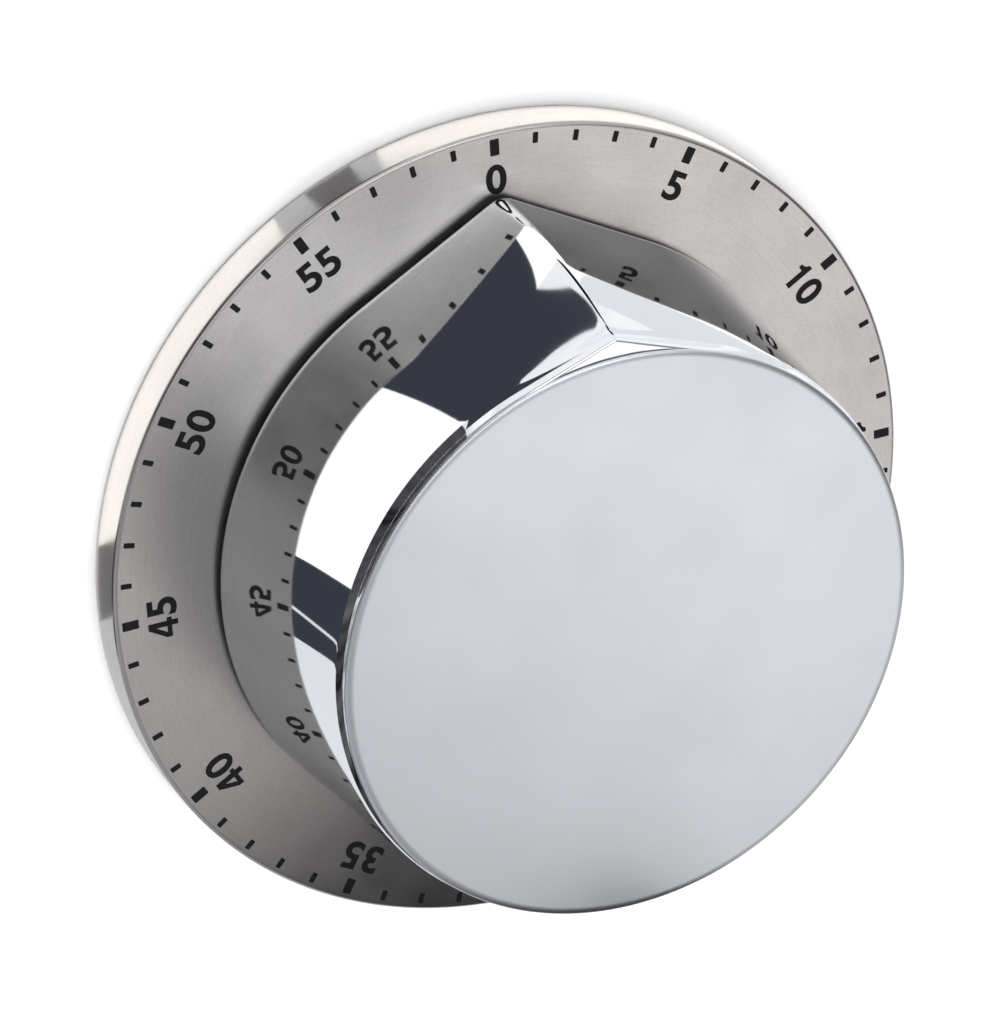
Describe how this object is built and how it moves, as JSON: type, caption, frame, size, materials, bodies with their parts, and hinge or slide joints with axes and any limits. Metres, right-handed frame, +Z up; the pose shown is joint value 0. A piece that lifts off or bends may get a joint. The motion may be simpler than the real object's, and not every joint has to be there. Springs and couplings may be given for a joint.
{
  "type": "kitchen timer",
  "caption": "Round mechanical 60 minute kitchen timer: a steel dial disc under a large turning knob with a pointer, a clockwork train and a bell inside.",
  "frame": {"origin": "centre of the circle that the foot ring stands on, on the axis of the knob", "axes": "+Z up along the knob's axis, +Y towards the zero mark of the dial, +X towards the 15 minute mark"},
  "size_m": [0.08, 0.08, 0.0297],
  "materials": {
    "dial_steel": "satin brushed stainless sheet",
    "knob_chrome": "mirror polished",
    "knob_satin": "fine satin",
    "cover_plastic": "black, lightly textured",
    "case_plastic": "charcoal, moulded",
    "foot_rubber": "matt moulded",
    "ferrite": "ground ferrite",
    "zinc_plate": "zinc plated",
    "clock_brass": "stamped and brushed",
    "arbor_steel": "turned",
    "bell_steel": "bright pressed steel",
    "spring_steel": "blued"
  },
  "bodies": {
    "base": {"dial_plate": "dial_steel", "rear_cover": "cover_plastic", "foot_ring": "foot_rubber", "magnet_1": "ferrite", "magnet_2": "ferrite", "magnet_3": "ferrite", "case_screw_1": "zinc_plate", "case_screw_2": "zinc_plate", "case_screw_3": "zinc_plate", "movement_case": "case_plastic", "case_lid": "case_plastic", "bell": "bell_steel", "bell_screw": "zinc_plate", "back_plate": "clock_brass", "front_plate": "clock_brass", "pillar_1": "clock_brass", "pillar_2": "clock_brass", "pillar_3": "clock_brass", "pillar_screw_1": "zinc_plate", "pillar_screw_2": "zinc_plate", "pillar_screw_3": "zinc_plate", "mainspring": "spring_steel", "spring_post": "arbor_steel"},
    "knob": {"knob_shell": "knob_chrome", "knob_face": "knob_satin", "knob_hub": "clock_brass", "knob_screw": "zinc_plate", "main_arbor": "arbor_steel", "main_wheel": "clock_brass", "clutch_spring": "spring_steel", "clutch_clip": "spring_steel", "alarm_cam": "clock_brass"},
    "second": {"second_arbor": "arbor_steel", "second_wheel": "clock_brass"},
    "third": {"third_arbor": "arbor_steel", "third_wheel": "clock_brass"},
    "escape": {"escape_arbor": "arbor_steel", "escape_wheel": "clock_brass"},
    "balance": {"balance_staff": "arbor_steel", "pallet_anchor": "arbor_steel", "balance_wheel": "clock_brass"},
    "hammer": {"hammer_arbor": "arbor_steel", "trigger_lever": "arbor_steel", "hammer_arm": "arbor_steel", "hammer_head": "clock_brass"}
  },
  "joints": [
    {"name": "knob_turn", "type": "hinge", "parent": "base", "child": "knob", "pos_m": [0, 0, 0], "axis": [0, 0, 1], "range_deg": [-354, 0]},
    {"name": "second_turn", "type": "hinge", "parent": "base", "child": "second", "pos_m": [0.0081, 0.01403, 0], "axis": [0, 0, 1], "range_deg": [0, 2832]},
    {"name": "third_turn", "type": "hinge", "parent": "base", "child": "third", "pos_m": [-0.00064, 0.01619, 0], "axis": [0, 0, 1], "range_deg": [-19824, 0]},
    {"name": "escape_turn", "type": "hinge", "parent": "base", "child": "escape", "pos_m": [-0.00824, 0.01395, 0], "axis": [0, 0, 1], "range_deg": [0, 138768]},
    {"name": "balance_swing", "type": "hinge", "parent": "base", "child": "balance", "pos_m": [-0.01347, 0.009, 0], "axis": [0, 0, 1], "range_deg": [-6, 6]},
    {"name": "hammer_swing", "type": "hinge", "parent": "base", "child": "hammer", "pos_m": [-0.0081, -0.01403, 0], "axis": [0, 0, 1], "range_deg": [0, 4], "stiffness_Nm_per_rad": 0.0002}
  ],
  "couplings": [
    {"joint": "second_turn", "follows": "knob_turn", "ratio": -8},
    {"joint": "third_turn", "follows": "knob_turn", "ratio": 56},
    {"joint": "escape_turn", "follows": "knob_turn", "ratio": -392}
  ]
}
